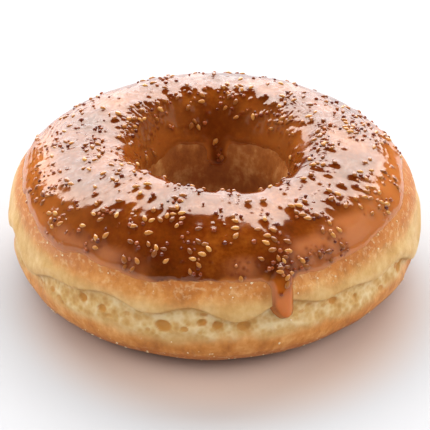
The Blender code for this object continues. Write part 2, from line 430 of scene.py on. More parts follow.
@dataclass(frozen=True)
class GlazeShape:
    """The glaze's outline on the ring, its drips and its thickness."""

    outer_edge: float = 34.1
    outer_waves: tuple = ((1, 1.8, 2.1), (2, 3.1, 2.98), (4, 2.4, 0.1), (9, 1.2, 0.7), (12, 1.1, -1.15))
    inner_edge: float = 152.0
    inner_waves: tuple = ((1, 1.8, -2.0), (2, 4.4, 1.4), (3, 0.9, 1.0))
    outer_drip: tuple[float, float, float] = (18.0, 4.2, 34.0)
    hole_drip: tuple[float, float, float] = (172.0, 13.0, 17.0)
    crust_rise: float = 0.9 * MM
    rise_outside: tuple[float, float] = (14, 36)
    rise_in_hole: tuple[float, float] = (186, 166)
    film: float = 0.6 * MM
    film_reach: float = 1.5 * MM
    bead: float = 0.05 * MM
    drip_thickness: float = 1.35 * MM
    drip_half_width: float = 2.3 * MM
    drip_tip: float = 3.4
    hole_tip: tuple[float, float] = (178.5, 172.5)
    hole_half_width: float = 2.5 * MM
    hole_lobe: tuple[float, float, float] = (-148.0, 15.0, 5.5)
    edge_wobble: float = 0.6 * MM

    def plain_edges(self, ring: Array) -> tuple[Array, Array]:
        """The outline without its drips.

        Args:
            ring: ring angles in radians.

        Returns:
            Section angles of the outer and the inner edge, in degrees.
        """
        outer = self.outer_edge + wave_sum(ring, self.outer_waves)
        return outer, self.inner_edge + wave_sum(ring, self.inner_waves)

    def edges(self, ring: float) -> tuple[float, float]:
        """The outline with its drips, as the solid has it.

        Args:
            ring: ring angle in radians.

        Returns:
            Section angles of the outer and the inner edge, in degrees.
        """
        outer, inner = self.plain_edges(ring)
        return outer - self._run(ring, self.outer_drip), inner + self._run(ring, self.hole_drip)

    def swell(self, section: Array) -> Array:
        """How far the crust swells to meet the glaze.

        Args:
            section: section angles in radians.

        Returns:
            The swell in metres.
        """
        degrees = np.degrees(section) % 360
        outside = ease(*self.rise_outside, np.where(degrees > 300, 0, degrees))
        return self.crust_rise * outside * ease(*self.rise_in_hole, degrees)

    @staticmethod
    def _run(ring: float, drip: tuple[float, float, float]) -> float:
        """How far a drip carries the edge.

        Args:
            ring: ring angle in radians.
            drip: its ring angle, half width and length, in degrees.

        Returns:
            The distance in degrees of section angle.
        """
        middle, half_width, length = drip
        turn = (math.degrees(ring) - middle + 180) % 360 - 180
        return length * math.exp(-((turn / half_width) ** 4))


@dataclass(frozen=True)
class HazePatch:
    """A stretch low on the ring where the glaze is painted milky: partly its own cloudiness, partly painted
    reflection of the floor and fill lights. Angles in degrees.
    """

    strength: float
    starts: tuple[float, float]
    ends: tuple[float, float]
    below: tuple[float, float]

    def share(self, aside: Array, section: Array) -> Array:
        """How much painted milky sheen it gives each vertex.

        Args:
            aside: ring angles from the front.
            section: section angles.

        Returns:
            Shares from 0 to 1.
        """
        across = ease(*self.starts, aside) * ease(*self.ends, aside)
        return self.strength * across * ease(*self.below, section)


@dataclass(frozen=True)
class FoldPatch:
    """A place where the film has set in fine folds. Angles in degrees."""

    ring: float
    ring_spread: float
    section: float
    section_spread: float

    def share(self, aside: Array, section: Array) -> Array:
        """How folded it makes each vertex.

        Args:
            aside: ring angles from the front.
            section: section angles.

        Returns:
            Shares from 0 to 1.
        """
        across = hill((aside - self.ring) / self.ring_spread)
        return across * hill((section - self.section) / self.section_spread)


# Milky, partly painted reflection of the floor and fill lights: low on the left, and over most of the right
HAZE = (
    HazePatch(0.7, (-130, -100), (-14, -26), (45, 37)),
    HazePatch(1.0, (18, 26), (130, 104), (58, 50)),
)
# Folded on both sides at the back
FOLDS = (FoldPatch(112, 28, 78, 22), FoldPatch(-112, 24, 58, 18))


@dataclass(frozen=True)
class Heap:
    """Seeds and grains that lie close together."""

    ring: float
    section: float
    spread: float
    seeds: int
    grains: int


HEAPS = tuple(
    Heap(*measures)
    for measures in (
        (18, 37, 1.4, 6, 4), (-5, 46, 1.2, 6, 2), (19, 53, 1.6, 7, 1), (-48, 82, 1.7, 6, 1),
        (81, 95, 1.4, 3, 4), (49, 67, 1.3, 5, 1), (-82, 86, 1.5, 4, 1), (-17, 70, 1.4, 3, 2),
        (-23, 56, 1.7, 3, 2), (-52, 39, 1.3, 4, 1), (-63, 50, 1.0, 2, 3), (62, 45, 1.0, 3, 2),
        (-23, 34, 0.8, 3, 1), (-16, 46, 0.8, 3, 1), (-35, 40, 1.3, 2, 2), (138, 90, 1.2, 4, 0),
        (38, 46, 1.0, 3, 1), (33, 76, 1.3, 4, 0), (97, 76, 1.1, 3, 1), (-68, 82, 1.4, 3, 0),
        (-10, 66, 1.1, 3, 0), (-61, 62, 0.9, 2, 1), (-38, 57, 0.6, 1, 2), (-163, 137, 0.9, 3, 0),
        (35, 63, 0.7, 1, 2), (25, 37, 0.6, 2, 1), (31, 39, 1.3, 2, 1), (8, 70, 1.0, 3, 0),
        (59, 57, 0.8, 3, 0), (65, 62, 1.2, 2, 1), (73, 51, 0.9, 3, 0), (96, 96, 1.2, 0, 3),
        (69, 101, 1.3, 2, 1), (-116, 91, 0.6, 2, 0), (-99, 87, 0.8, 0, 2), (6, 42, 1.1, 2, 0),
        (-4, 34, 0.9, 2, 0), (0, 54, 1.2, 2, 0), (-9, 54, 1.0, 0, 2), (-31, 62, 1.4, 1, 1),
        (-70, 48, 0.7, 2, 0), (-48, 53, 1.1, 0, 2), (-43, 43, 1.2, 2, 0), (-20, 95, 1.0, 2, 0),
        (114, 72, 0.7, 2, 0), (107, 126, 1.0, 2, 0), (118, 122, 1.0, 2, 0), (148, 121, 1.3, 1, 1),
        (-154, 107, 0.8, 1, 1), (-143, 118, 1.1, 2, 0), (175, 160, 0.6, 1, 1), (174, 108, 1.2, 0, 2),
        (39, 32, 1.0, 0, 2), (94, 57, 0.6, 1, 1), (94, 45, 0.6, 1, 1), (-140, 120, 2.4, 8, 2),
        (-118, 112, 2.0, 7, 2), (165, 122, 1.8, 6, 1), (138, 112, 2.0, 7, 2), (-170, 112, 1.8, 5, 1),
        (92, 66, 1.6, 6, 2), (104, 62, 1.4, 5, 1), (-75, 58, 1.4, 5, 2), (-90, 68, 1.5, 4, 2),
    )
)
SOLID_HEAPS = 34


class Kind(Enum):
    """What a topping is."""

    SEED = "golden seed"
    GRAIN = "dark grain"
    BURIED = "grain under the glaze"
    SUGAR = "sugar crumb"


@dataclass
class Topping:
    """One thing stuck to the doughnut."""

    kind: Kind
    ring: float
    section: float
    size: tuple[float, float, float]
    turn: float


@dataclass(frozen=True)
class Hump:
    """How the glaze humps over a topping, as shares of the topping's height and length."""

    on_flank: float
    on_crown: float
    width: float


BURIED_HUMP = Hump(0.15, 1.0, 0.8)
OPEN_HUMP = Hump(0.28, 0.64, 0.75)
# Section angles between which the humps grow, in degrees
CROWN_FROM, CROWN_FULL = 62, 80
# Share of its height that a topping lies in
SEED_SUNK = 0.62
BIT_SUNK = 0.6


@dataclass(frozen=True)
class Streak:
    """A stretch where fine grains lie thick under the glaze and wrinkle it."""

    ring: float
    section: float
    along: float
    across: float
    turn: float
    count: int


@dataclass(frozen=True)
class ToppingRule:
    """Where everything that is stuck to the glaze goes, by a seeded rule."""

    count: int = 116
    scattered_share: float = 0.34
    spacing: float = 1.9 * MM
    edge_margin: float = 7.0
    seed: int = 20
    more_seeds: int = 64
    more_grains: int = 90
    buried: int = 110
    streaks: tuple = (
        Streak(102, 76, 7.0, 1.8, 0.1, 60),
        Streak(84, 96, 6.0, 1.6, 0.2, 50),
        Streak(-15, 79, 4.0, 1.2, 1.5, 34),
        Streak(64, 88, 6.0, 1.6, 0.4, 44),
        Streak(140, 84, 6.0, 1.8, 0.0, 34),
        Streak(-110, 112, 6.0, 2.2, 0.6, 46),
        Streak(112, 66, 6.0, 1.8, 0.2, 34),
        Streak(-88, 64, 5.0, 1.6, 0.9, 30),
        Streak(20, 44, 4.0, 1.4, 1.5, 30),
        Streak(-150, 80, 7.0, 2.0, 0.1, 40),
        Streak(-104, 60, 15.0, 4.0, 0.05, 130),
        Streak(-128, 114, 9.0, 5.0, 0.4, 110),
        Streak(112, 62, 13.0, 4.0, 0.1, 110),
        Streak(126, 114, 8.0, 5.0, 0.6, 90),
        Streak(172, 96, 9.0, 3.0, 0.0, 60),
        Streak(-72, 40, 6.0, 3.0, 0.3, 50),
    )

    def solid_seeds(self, shape: RingShape, glaze: GlazeShape, line: ProofLine) -> list[Topping]:
        """The seeds that the solid carries, drawn in the same order.

        Args:
            shape: the ring.
            glaze: the glaze's outline.
            line: the proof line, whose lip the glaze runs over.

        Returns:
            The seeds.
        """
        chance = random.Random(self.seed)
        heaps = HEAPS[:SOLID_HEAPS]
        total = sum(heap.seeds + heap.grains for heap in heaps)
        wanted: list[Heap | None] = []
        for heap in heaps:
            share = (heap.seeds + heap.grains) / total
            wanted += [heap] * round(self.count * (1 - self.scattered_share) * share)
        wanted += [None] * (self.count - len(wanted))
        spots: list[tuple[float, float]] = []
        places: list[Array] = []
        for heap in wanted:
            for _ in range(60):
                ring, section = self._draw(chance, heap, shape, glaze)
                place = cover_point(shape, line, ring, section)
                if self._inside(glaze, ring, section) and all(
                    np.linalg.norm(place - other) > self.spacing for other in places
                ):
                    spots.append((ring, section))
                    places.append(place)
                    break
        made = []
        for ring, section in spots:
            scale = chance.uniform(0.85, 1.15)
            size = (1.75 * MM * scale, 1.1 * MM * scale, 0.9 * MM * scale)
            made.append(Topping(Kind.SEED, ring, section, size, chance.uniform(0, math.pi)))
        return made

    def _draw(
        self,
        chance: random.Random,
        heap: Heap | None,
        shape: RingShape,
        glaze: GlazeShape,
        crest: bool = False,
    ) -> tuple[float, float]:
        """Draws one spot.

        Args:
            chance: the random source.
            heap: the heap to draw in, or None for anywhere on the glaze.
            shape: the ring.
            glaze: the glaze's outline.
            crest: whether spots outside heaps gather on the crest.

        Returns:
            Ring and section angle in radians.
        """
        if heap is None:
            ring = chance.uniform(0, math.tau)
            if crest:
                return ring, math.radians(chance.triangular(glaze.outer_edge, glaze.inner_edge, 66))
            return ring, math.radians(chance.uniform(glaze.outer_edge, glaze.inner_edge))
        middle = shape.base(np.array(0.0), np.array(math.radians(heap.section)))
        radius = math.hypot(middle[0], middle[1])
        ring = math.radians(heap.ring) + chance.gauss(0, heap.spread * MM) / radius
        return ring, math.radians(heap.section) + chance.gauss(0, heap.spread * MM) / SECTION_RADIUS

    def _inside(self, glaze: GlazeShape, ring: float, section: float) -> bool:
        """Whether a spot is well inside the glaze's outline.

        Args:
            glaze: the glaze's outline.
            ring: ring angle in radians.
            section: section angle in radians.

        Returns:
            True inside.
        """
        outer, inner = glaze.edges(ring)
        return outer + self.edge_margin < math.degrees(section) < inner - self.edge_margin

    def extra(
        self, solid: list[Topping], shape: RingShape, glaze: GlazeShape, line: ProofLine
    ) -> list[Topping]:
        """The smaller seeds, grains and buried grains that only the render carries.

        Args:
            solid: the seeds that are there already.
            shape: the ring.
            glaze: the glaze's outline.
            line: the proof line.

        Returns:
            The added toppings.
        """
        chance = random.Random(self.seed + 1)
        places = [cover_point(shape, line, t.ring, t.section) for t in solid]
        orders: list[tuple[Kind, Heap | None, float]] = []
        for heap in HEAPS:
            orders += [(Kind.SEED, heap, 1.25)] * math.ceil(heap.seeds * 0.35)
            orders += [(Kind.GRAIN, heap, 0.8)] * (heap.grains * 2 + 1)
            orders += [(Kind.BURIED, heap, 0.5)] * 3
        orders += [(Kind.SEED, None, 1.3)] * self.more_seeds
        orders += [(Kind.GRAIN, None, 0.8)] * self.more_grains
        orders += [(Kind.BURIED, None, 0.6)] * self.buried
        made = []
        for kind, heap, spacing in orders:
            for _ in range(12):
                ring, section = self._draw(chance, heap, shape, glaze, crest=True)
                place = cover_point(shape, line, ring, section)
                near = min(np.linalg.norm(np.array(places) - place, axis=1))
                outer, inner = glaze.edges(ring)
                if near > spacing * MM and outer + 2 < math.degrees(section) < inner - 2:
                    places.append(place)
                    size = self._size(kind, chance)
                    made.append(Topping(kind, ring, section, size, chance.uniform(0, math.pi)))
                    break
        for streak in self.streaks:
            made += self._streak(chance, streak)
        return made

    def _streak(self, chance: random.Random, streak: Streak) -> list[Topping]:
        """The buried grains of one streak.

        Args:
            chance: the random source.
            streak: the streak.

        Returns:
            Its grains.
        """
        made = []
        for _ in range(streak.count):
            along, across = chance.gauss(0, streak.along / 2), chance.gauss(0, streak.across / 2)
            sideways = along * math.cos(streak.turn) - across * math.sin(streak.turn)
            upwards = along * math.sin(streak.turn) + across * math.cos(streak.turn)
            ring = math.radians(streak.ring) + sideways * MM / CREST_RADIUS
            section = math.radians(streak.section) + upwards * MM / SECTION_RADIUS
            kind = chance.choices((Kind.BURIED, Kind.SEED, Kind.GRAIN), (0.87, 0.07, 0.06))[0]
            size = self._size(kind, chance)
            made.append(Topping(kind, ring, section, size, chance.uniform(0, math.pi)))
        return made

    @staticmethod
    def _size(kind: Kind, chance: random.Random) -> tuple[float, float, float]:
        """Draws a topping's size.

        Args:
            kind: what it is.
            chance: the random source.

        Returns:
            Length, width and height in metres.
        """
        scale = chance.uniform(0.82, 1.15)
        if kind is Kind.SEED:
            return 1.65 * MM * scale, 1.05 * MM * scale, 0.85 * MM * scale
        if kind is Kind.GRAIN:
            scale = chance.uniform(0.5, 1.15)
            return 1.05 * MM * scale, 0.9 * MM * scale, 0.8 * MM * scale
        scale = chance.uniform(0.6, 1.25)
        return 0.95 * MM * scale, 0.8 * MM * scale, 0.42 * MM * scale


def cover_relief(shape: RingShape, line: ProofLine, section: Array, points: Array) -> Array:
    """The relief that the glaze lies over: the dough's lumps and its lip, with the groove bridged.

    Args:
        shape: the ring.
        line: the proof line.
        section: section angles in radians.
        points: points of the smooth ring.

    Returns:
        How far each point stands out, in metres.
    """
    lip = line.lip_bulge * np.clip(np.cos(section), 0.0, 1.0) ** line.cover_power
    return shape.lumps(points) + lip


def cover_point(shape: RingShape, line: ProofLine, ring: float, section: float) -> Array:
    """One point on what the glaze lies over.

    Args:
        shape: the ring.
        line: the proof line.
        ring: ring angle in radians.
        section: section angle in radians.

    Returns:
        The point.
    """
    ring_array, section_array = np.array(ring), np.array(section)
    point = shape.base(ring_array, section_array)
    relief = cover_relief(shape, line, section_array, point)
    return point + shape.normal(ring_array, section_array) * relief


# Surfaces as grids of ring angles by section angles


class RingGrid:
    """A closed surface laid out in columns round the hole and rows round the section."""

    def __init__(self, shape: RingShape, rings: Array, sections: Array) -> None:
        """Lays out the grid on the smooth ring.

        Args:
            shape: the ring.
            rings: rising ring angles of the columns, in radians.
            sections: section angles of the rows, in radians.
        """
        self.rings = rings
        self.sections = sections
        self.ring, self.section = np.meshgrid(rings, sections, indexing="ij")
        self.base = shape.base(self.ring, self.section)
        self.normal = shape.normal(self.ring, self.section)
        self.points = self.base.copy()
        self.degrees = np.degrees(self.section)
        self.values: dict[str, Array] = {}

    def column_at(self, ring: float) -> int:
        """The column nearest after a ring angle.

        Args:
            ring: ring angle in radians.

        Returns:
            Its index.
        """
        return int(np.searchsorted(self.rings, ring % math.tau)) % len(self.rings)

    def window(self, ring: float, row: int, reach: float, radius: float) -> tuple[Array, Array]:
        """Indices of the vertices round a place.

        Args:
            ring: ring angle in radians.
            row: the nearest row.
            reach: how far to go, in metres.
            radius: the distance from the ring's axis there, in metres.

        Returns:
            Column and row indices, ready to index the grid.
        """
        count = len(self.rings)
        column = self.column_at(ring)
        spacing = math.tau / count * radius * 0.75
        wide = int(reach / spacing) + 2
        columns = np.arange(column - wide, column + wide + 1) % count
        heights = np.linalg.norm(self.base[column] - self.base[column, row], axis=-1)
        rows = np.nonzero(heights < reach * 1.3)[0]
        return np.ix_(columns, rows)

    def to_object(self, name: str) -> bpy.types.Object:
        """Makes the grid a closed, smooth mesh with its values as attributes.

        Args:
            name: the object's name.

        Returns:
            The object, linked to the scene.
        """
        columns, rows = self.ring.shape
        number = np.arange(columns * rows).reshape(columns, rows)
        ahead, above = np.roll(number, -1, axis=0), np.roll(number, -1, axis=1)
        corner = np.roll(ahead, -1, axis=1)
        faces = np.stack([number, ahead, corner, above], axis=-1).reshape(-1, 4)
        mesh = bpy.data.meshes.new(name)
        mesh.from_pydata(self.points.reshape(-1, 3).tolist(), [], faces.tolist())
        mesh.shade_smooth()
        for label, value in self.values.items():
            layer = mesh.attributes.new(label, "FLOAT", "POINT")
            layer.data.foreach_set("value", value.reshape(-1).astype(np.float32))
        mesh.update()
        return linked(name, mesh)


def held_inside(points: Array, box: Sequence[Sequence[float]]) -> Array:
    """Keeps points just inside the solids' box.

    Args:
        points: the points.
        box: its lowest and highest corner.

    Returns:
        The points, those outside moved to its sides.
    """
    low, high = np.array(box[0]), np.array(box[1])
    return np.clip(points, low + BOX_MARGIN * np.array([1, 1, 0]), high - BOX_MARGIN)


# Materials


def tone(code: str) -> tuple[float, float, float, float]:
    """Turns an sRGB colour into the linear one that shaders take.

    Args:
        code: the colour as six hexadecimal digits.

    Returns:
        Linear red, green, blue and alpha.
    """
    channels = [int(code[start : start + 2], 16) / 255 for start in (0, 2, 4)]
    linear = [c / 12.92 if c <= 0.04045 else ((c + 0.055) / 1.055) ** 2.4 for c in channels]
    return linear[0], linear[1], linear[2], 1.0


class Graph:
    """A material's node tree, with short ways to add what these finishes use."""

    def __init__(self, name: str) -> None:
        """Starts a material with only its output.

        Args:
            name: the material's name.
        """
        self.material = bpy.data.materials.new(name)
        self.material.use_nodes = True
        self.tree = self.material.node_tree
        self.tree.nodes.clear()
        self.coordinates = self.add("ShaderNodeTexCoord").outputs["Object"]

    def add(self, kind: str, inputs: Mapping[Any, Any] | None = None, **settings: Any) -> bpy.types.Node:
        """Adds one node, as add_node does.

        Args:
            kind: the node's type.
            inputs: socket name or number to a value, or to the socket that feeds it.
            settings: the node's own properties.

        Returns:
            The node.
        """
        return add_node(self.tree, kind, inputs, **settings)

    def noise(self, size: float, detail: float = 3.0, stretch: Sequence[float] = (1, 1, 1)) -> Any:
        """Cloudy noise.

        Args:
            size: size of its largest clouds, in metres.
            detail: how many finer layers it has.
            stretch: how much finer it is along each axis.

        Returns:
            The noise socket, about 0 to 1.
        """
        place = self.coordinates
        if tuple(stretch) != (1, 1, 1):
            place = self.add("ShaderNodeMapping", {"Vector": place, "Scale": stretch}).outputs[0]
        inputs = {"Vector": place, "Scale": 1 / size, "Detail": detail, "Roughness": 0.55}
        return self.add("ShaderNodeTexNoise", inputs).outputs[0]

    def cells(self, size: float) -> Any:
        """Distance to the nearest of scattered points, as in foam.

        Args:
            size: size of a cell, in metres.

        Returns:
            The distance socket.
        """
        inputs = {"Vector": self.coordinates, "Scale": 1 / size, "Randomness": 1.0}
        return self.add("ShaderNodeTexVoronoi", inputs, feature="F1").outputs["Distance"]

    def value(self, name: str, weight: float = 1.0) -> Any:
        """Reads one of the mesh's own values.

        Args:
            name: the attribute's name.
            weight: what it is multiplied by.

        Returns:
            The value socket.
        """
        read = self.add("ShaderNodeAttribute", attribute_name=name).outputs["Fac"]
        return read if weight == 1 else self.maths("MULTIPLY", read, weight)

    def maths(self, operation: str, first: Any, second: Any = 0.0, third: Any = 0.0) -> Any:
        """Does one sum.

        Args:
            operation: Blender's name for it.
            first: first value or socket.
            second: second value or socket.
            third: third value or socket.

        Returns:
            The result socket.
        """
        return self.add("ShaderNodeMath", {0: first, 1: second, 2: third}, operation=operation).outputs[0]

    def average(self, *parts: tuple[Any, float]) -> Any:
        """Adds up weighted values.

        Args:
            parts: (value socket, weight) of each.

        Returns:
            The sum socket.
        """
        total: Any = 0.0
        for value, weight in parts:
            total = self.maths("MULTIPLY_ADD", value, weight, total)
        return total

    def range(self, value: Any, low: float, high: float) -> Any:
        """Maps a value smoothly onto 0 to 1.

        Args:
            value: the value socket.
            low: what becomes 0.
            high: what becomes 1.

        Returns:
            The mapped socket.
        """
        inputs = {"Value": value, "From Min": low, "From Max": high}
        return self.add("ShaderNodeMapRange", inputs, interpolation_type="SMOOTHSTEP").outputs[0]

    def ramp(self, value: Any, stops: Sequence[tuple[float, str]]) -> Any:
        """Turns a value into a colour.

        Args:
            value: the value socket.
            stops: (place, sRGB code), rising.

        Returns:
            The colour socket.
        """
        node = self.add("ShaderNodeValToRGB", {0: value})
        elements = node.color_ramp.elements
        while len(elements) < len(stops):
            elements.new(0.5)
        for element, (place, code) in zip(elements, stops):
            element.position = place
            element.color = tone(code)
        return node.outputs[0]

    def blend(self, share: Any, first: Any, second: Any) -> Any:
        """Mixes two colours.

        Args:
            share: how much of the second.
            first: first colour or socket.
            second: second colour or socket.

        Returns:
            The colour socket.
        """
        inputs = {0: share, 6: first, 7: second}
        return self.add("ShaderNodeMix", inputs, data_type="RGBA").outputs[2]

    def layered(self, colour: Any, *layers: tuple[str, float, Any]) -> Any:
        """Lays colours over one another, each where one of the mesh's values is high.

        Args:
            colour: the lowest colour.
            layers: (attribute's name, share where it is 1, colour or socket) of each, lowest first.

        Returns:
            The colour socket.
        """
        for name, weight, over in layers:
            colour = self.blend(self.value(name, weight), colour, over)
        return colour

    def bump(self, height: Any, depth: float, under: Any = None) -> Any:
        """Turns a height into a change of normal.

        Args:
            height: the height socket.
            depth: what a height of 1 measures, in metres.
            under: a normal to add to, or None.

        Returns:
            The normal socket.
        """
        inputs = {"Height": height, "Distance": depth, "Strength": 1.0}
        if under is not None:
            inputs["Normal"] = under
        return self.add("ShaderNodeBump", inputs).outputs[0]

    def finish(self, inputs: Mapping[str, Any]) -> bpy.types.Material:
        """Closes the tree with a Principled shader.

        Args:
            inputs: the shader's sockets.

        Returns:
            The material.
        """
        shader = self.add("ShaderNodeBsdfPrincipled", inputs, subsurface_method="RANDOM_WALK")
        self.add("ShaderNodeOutputMaterial", {"Surface": shader.outputs[0]})
        return self.material


@dataclass(frozen=True)
class CrustFinish:
    """Fried dough: golden crust, a cream band where the halves meet, and open crumb in it."""

    crust: tuple = ((0.36, "aa6426"), (0.5, "c98239"), (0.64, "dfa663"))
    cream: tuple = ((0.36, "bd8d49"), (0.5, "cda365"), (0.66, "dabb86"))
    wall: tuple = ((0.3, "b68644"), (0.48, "c79e5f"), (0.7, "dac090"))
    # Painted shade colour in the pores and along the crease under the lip
    hollow: str = "bc8238"
    # Darker crust for the hole below its waist: partly the browner fried wall, partly painted shade
    hole: tuple = ((0.38, "82441a"), (0.5, "9c5a28"), (0.62, "c08a52"))
    deep: str = "b4652a"
    foot: str = "965225"
    scab: str = "ecc896"
    film: str = "c07c50"
    roughness: float = 0.5

    def make(self) -> bpy.types.Material:
        """Builds the material.

        Returns:
            The material.
        """
        graph = Graph("fried_dough")
        clouds = graph.noise(6 * MM, 5)
        flecks = graph.noise(1.4 * MM, 4)
        # Down a fried flank the colour runs in streaks, over blotches as wide as a finger
        streaks = graph.noise(1.8 * MM, 3, (1, 1, 0.3))
        mottle = graph.average((clouds, 0.5), (flecks, 0.25), (streaks, 0.25))
        crust = graph.layered(
            graph.ramp(mottle, self.crust),
            ("deep", 0.6, tone(self.deep)),
            ("foot", 0.75, tone(self.foot)),
            ("hole", 0.9, graph.ramp(mottle, self.hole)),
            ("film", 0.6, tone(self.film)),
        )
        cream = graph.ramp(mottle, self.cream)
        # Torn crumb is foam: bright webs round cells of two sizes
        cells = ((graph.cells(1.1 * MM), 0.25), (graph.cells(3.0 * MM), 0.4))
        foam = graph.average(*cells, (graph.noise(2.5 * MM, 3), 0.4))
        # Painted shade: the pores and the crease under the lip take the darker hollow colour
        crumb = graph.blend(graph.value("cavity"), graph.ramp(foam, self.wall), tone(self.hollow))
        pale = graph.blend(graph.value("crumb"), cream, crumb)
        ragged = graph.average((graph.value("bake"), 1.0), (mottle, 0.9))
        colour = graph.blend(graph.range(ragged, 0.45, 1.4), pale, crust)
        # Syrup that ran thin dries on the crust in small pale scabs
        dried = graph.range(graph.noise(1.1 * MM, 3), 0.5, 0.68)
        scabs = graph.maths("MULTIPLY", dried, graph.value("scabs"))
        colour = graph.blend(graph.maths("MULTIPLY", scabs, 0.34), colour, tone(self.scab))
        # The web of a torn crumb, and the leathery grain of the skin
        web = graph.maths("MULTIPLY", foam, graph.value("crumb"))
        normal = graph.bump(web, 0.3 * MM)
        normal = graph.bump(graph.average((graph.noise(0.6 * MM, 3), 0.12), (scabs, 0.1)), 1.0 * MM, normal)
        return graph.finish(
            {
                "Base Color": colour,
                "Roughness": self.roughness,
                "Specular IOR Level": 0.4,
                "Subsurface Weight": 0.25,
                "Subsurface Radius": (1.0, 0.5, 0.22),
                "Subsurface Scale": 1.6 * MM,
                "Normal": normal,
            }
        )


@dataclass(frozen=True)
class GlazeFinish:
    """Set caramel glaze: a clear, syrupy amber with a wet gloss."""

    amber: tuple = ((0.34, "521f03"), (0.5, "6f3007"), (0.66, "904c14"))
    # Colour of thin glaze at the edge; down the flanks and on the wall of the hole it is partly painted
    # light
    edge: str = "c07030"
    buried: str = "5c1f0c"
    pool: str = "5c1c04"
    # Milky colour: partly the glaze's own cloudiness, partly painted reflection of the floor and fill
    # lights
    haze: str = "b87044"
    drip: str = "cc6c1e"
    roughness: float = 0.11
    refraction: float = 1.49
    mirroring: float = 0.72
    fold_width: float = 1.3 * MM

    def make(self) -> bpy.types.Material:
        """Builds the material.

        Returns:
            The material.
        """
        graph = Graph("caramel_glaze")
        pools = graph.noise(12 * MM, 2)
        specks = graph.noise(0.9 * MM, 3)
        colour = graph.layered(
            graph.ramp(graph.average((pools, 0.72), (specks, 0.28)), self.amber),
            # Partly painted reflection of the floor and fill lights
            ("haze", 0.75, tone(self.haze)),
            ("drip", 0.85, tone(self.drip)),
            ("pool", 0.7, tone(self.pool)),
            # Partly painted light down the flanks and on the wall of the hole
            ("thin", 0.7, tone(self.edge)),
            ("buried", 0.85, tone(self.buried)),
        )
        # Crushed grain lies thick in places, and the glaze humps over every piece of it
        thick = graph.range(graph.noise(7 * MM, 2), 0.54, 0.63)
        grit = graph.maths("MULTIPLY", graph.range(graph.cells(1.7 * MM), 0.42, 0.05), thick)
        colour = graph.blend(graph.maths("MULTIPLY", grit, 0.6), colour, tone(self.buried))
        # Slow ripples of a poured glaze, which break up what it mirrors
        normal = graph.bump(graph.noise(5 * MM, 1), 0.11 * MM)
        normal = graph.bump(graph.noise(1.5 * MM, 1), 0.01 * MM, normal)
        normal = graph.bump(grit, 0.2 * MM, normal)
        # The film has set in fine folds that run round the ring
        across = graph.value("across", math.tau / self.fold_width)
        phase = graph.average((across, 1.0), (graph.noise(5 * MM, 2), 12.0))
        folds = graph.maths("MULTIPLY", graph.maths("SINE", phase), graph.value("folds"))
        normal = graph.bump(folds, 0.045 * MM, normal)
        return graph.finish(
            {
                "Base Color": colour,
                "Roughness": self.roughness,
                "IOR": self.refraction,
                "Subsurface Weight": 0.3,
                "Subsurface Radius": (1.0, 0.35, 0.1),
                "Subsurface Scale": 1.8 * MM,
                "Specular Tint": tone("ffecd8"),
                "Specular IOR Level": self.mirroring,
                "Normal": normal,
            }
        )


@dataclass(frozen=True)
class SeedFinish:
    """Toasted seed coat, wet with glaze."""

    tones: tuple = ((0.1, "703610"), (0.4, "98581e"), (0.7, "ba7a34"), (0.95, "d29c54"))
    roughness: float = 0.28

    def make(self) -> bpy.types.Material:
        """Builds the material.

        Returns:
            The material.
        """
        graph = Graph("toasted_seed")
        shade = graph.average((graph.value("tint"), 0.65), (graph.noise(0.5 * MM, 2), 0.35))
        return graph.finish(
            {
                "Base Color": graph.ramp(shade, self.tones),
                "Roughness": self.roughness,
                "Subsurface Weight": 0.25,
                "Subsurface Radius": (1.0, 0.5, 0.2),
                "Subsurface Scale": 0.5 * MM,
                "Coat Weight": 0.5,
                "Coat Roughness": 0.08,
                "Normal": graph.bump(graph.noise(0.25 * MM, 2), 0.04 * MM),
            }
        )


@dataclass(frozen=True)
class GrainFinish:
    """Dark, sugar-burnt grain, wet with glaze."""

    tones: tuple = ((0.15, "4c1a0a"), (0.42, "7a3212"), (0.68, "9c4e20"), (0.92, "bc7c3c"))
    roughness: float = 0.25

    def make(self) -> bpy.types.Material:
        """Builds the material.

        Returns:
            The material.
        """
        graph = Graph("dark_grain")
        shade = graph.average((graph.value("tint"), 0.6), (graph.noise(0.4 * MM, 2), 0.4))
        return graph.finish(
            {
                "Base Color": graph.ramp(shade, self.tones),
                "Roughness": self.roughness,
                "Coat Weight": 0.5,
                "Coat Roughness": 0.1,
                "Normal": graph.bump(graph.noise(0.3 * MM, 2), 0.06 * MM),
            }
        )


@dataclass(frozen=True)
class SugarFinish:
    """Crumbs of dried sugar syrup."""

    tones: tuple = ((0.2, "d9b280"), (0.8, "f0dcb8"))

    def make(self) -> bpy.types.Material:
        """Builds the material.

        Returns:
            The material.
        """
        graph = Graph("dried_sugar")
        return graph.finish(
            {
                "Base Color": graph.ramp(graph.value("tint"), self.tones),
                "Roughness": 0.4,
                "Subsurface Weight": 0.4,
                "Subsurface Radius": (1.0, 0.8, 0.6),
                "Subsurface Scale": 0.4 * MM,
            }
        )


@dataclass(frozen=True)
class FloorFinish:
    """A pale matt studio floor, with painted warm bounce light on it before the doughnut."""

    colour: str = "bbbbbd"
    bounce_tint: str = "c6b0a3"
    bounce_place: tuple[float, float, float] = (-3 * MM, 15 * MM, 0)
    bounce_reach: tuple[float, float] = (34 * MM, 52 * MM)

    def make(self) -> bpy.types.Material:
        """Builds the material.

        Returns:
            The material.
        """
        graph = Graph("studio_floor")
        # Painted bounce light: the floor before the doughnut, where its shadow falls, is tinted warm as
        # light coming back from it would tint it
        place = {"Vector": graph.coordinates, "Location": self.bounce_place}
        moved = graph.add("ShaderNodeMapping", place).outputs[0]
        away = graph.add("ShaderNodeVectorMath", {0: moved}, operation="LENGTH").outputs["Value"]
        colour = graph.blend(graph.range(away, *self.bounce_reach), tone(self.bounce_tint), tone(self.colour))
        return graph.finish({"Base Color": colour, "Roughness": 0.9, "Specular IOR Level": 0.1})


# The doughnut's own pieces


